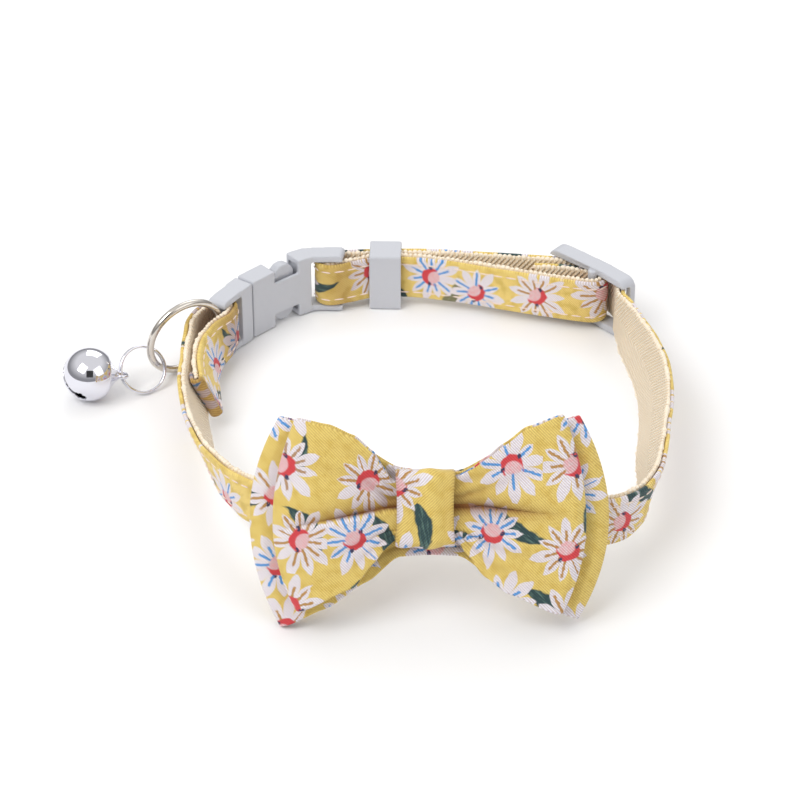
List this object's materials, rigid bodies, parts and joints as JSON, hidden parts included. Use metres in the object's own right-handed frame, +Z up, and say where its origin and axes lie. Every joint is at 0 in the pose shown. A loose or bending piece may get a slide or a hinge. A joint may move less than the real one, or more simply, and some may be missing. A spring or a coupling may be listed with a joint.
{
  "type": "pet bow tie collar",
  "caption": "Buckled small pet collar: printed cotton on webbing, side-release buckle, slider, keeper, tag ring, bell and a double cloth bow.",
  "frame": {"origin": "centre of the bounding box in plan, at the table the collar lies on", "axes": "+X to the right with the bow in front and the buckle behind; -Y towards the front, where the bow is; +Z up out of the neck opening"},
  "size_m": [0.128, 0.1252, 0.0392],
  "materials": {
    "printed_cotton": "plain woven cotton with a floral print",
    "webbing": "ribbed nylon, slightly shiny",
    "plastic": "satin moulded acetal",
    "nickel": "polished nickel plate",
    "bell_chrome": "mirror chrome plate",
    "elastic": "woven elastic"
  },
  "bodies": {
    "root": {"strap_webbing": "webbing", "strap_cover": "printed_cotton", "buckle_prong": "plastic", "buckle_socket": "plastic", "keeper": "plastic", "slider": "plastic", "tag_ring": "nickel", "split_ring": "bell_chrome", "bell": "bell_chrome", "bow_back": "printed_cotton", "bow_front": "printed_cotton", "bow_knot": "printed_cotton", "bow_loop": "elastic"}
  },
  "joints": []
}
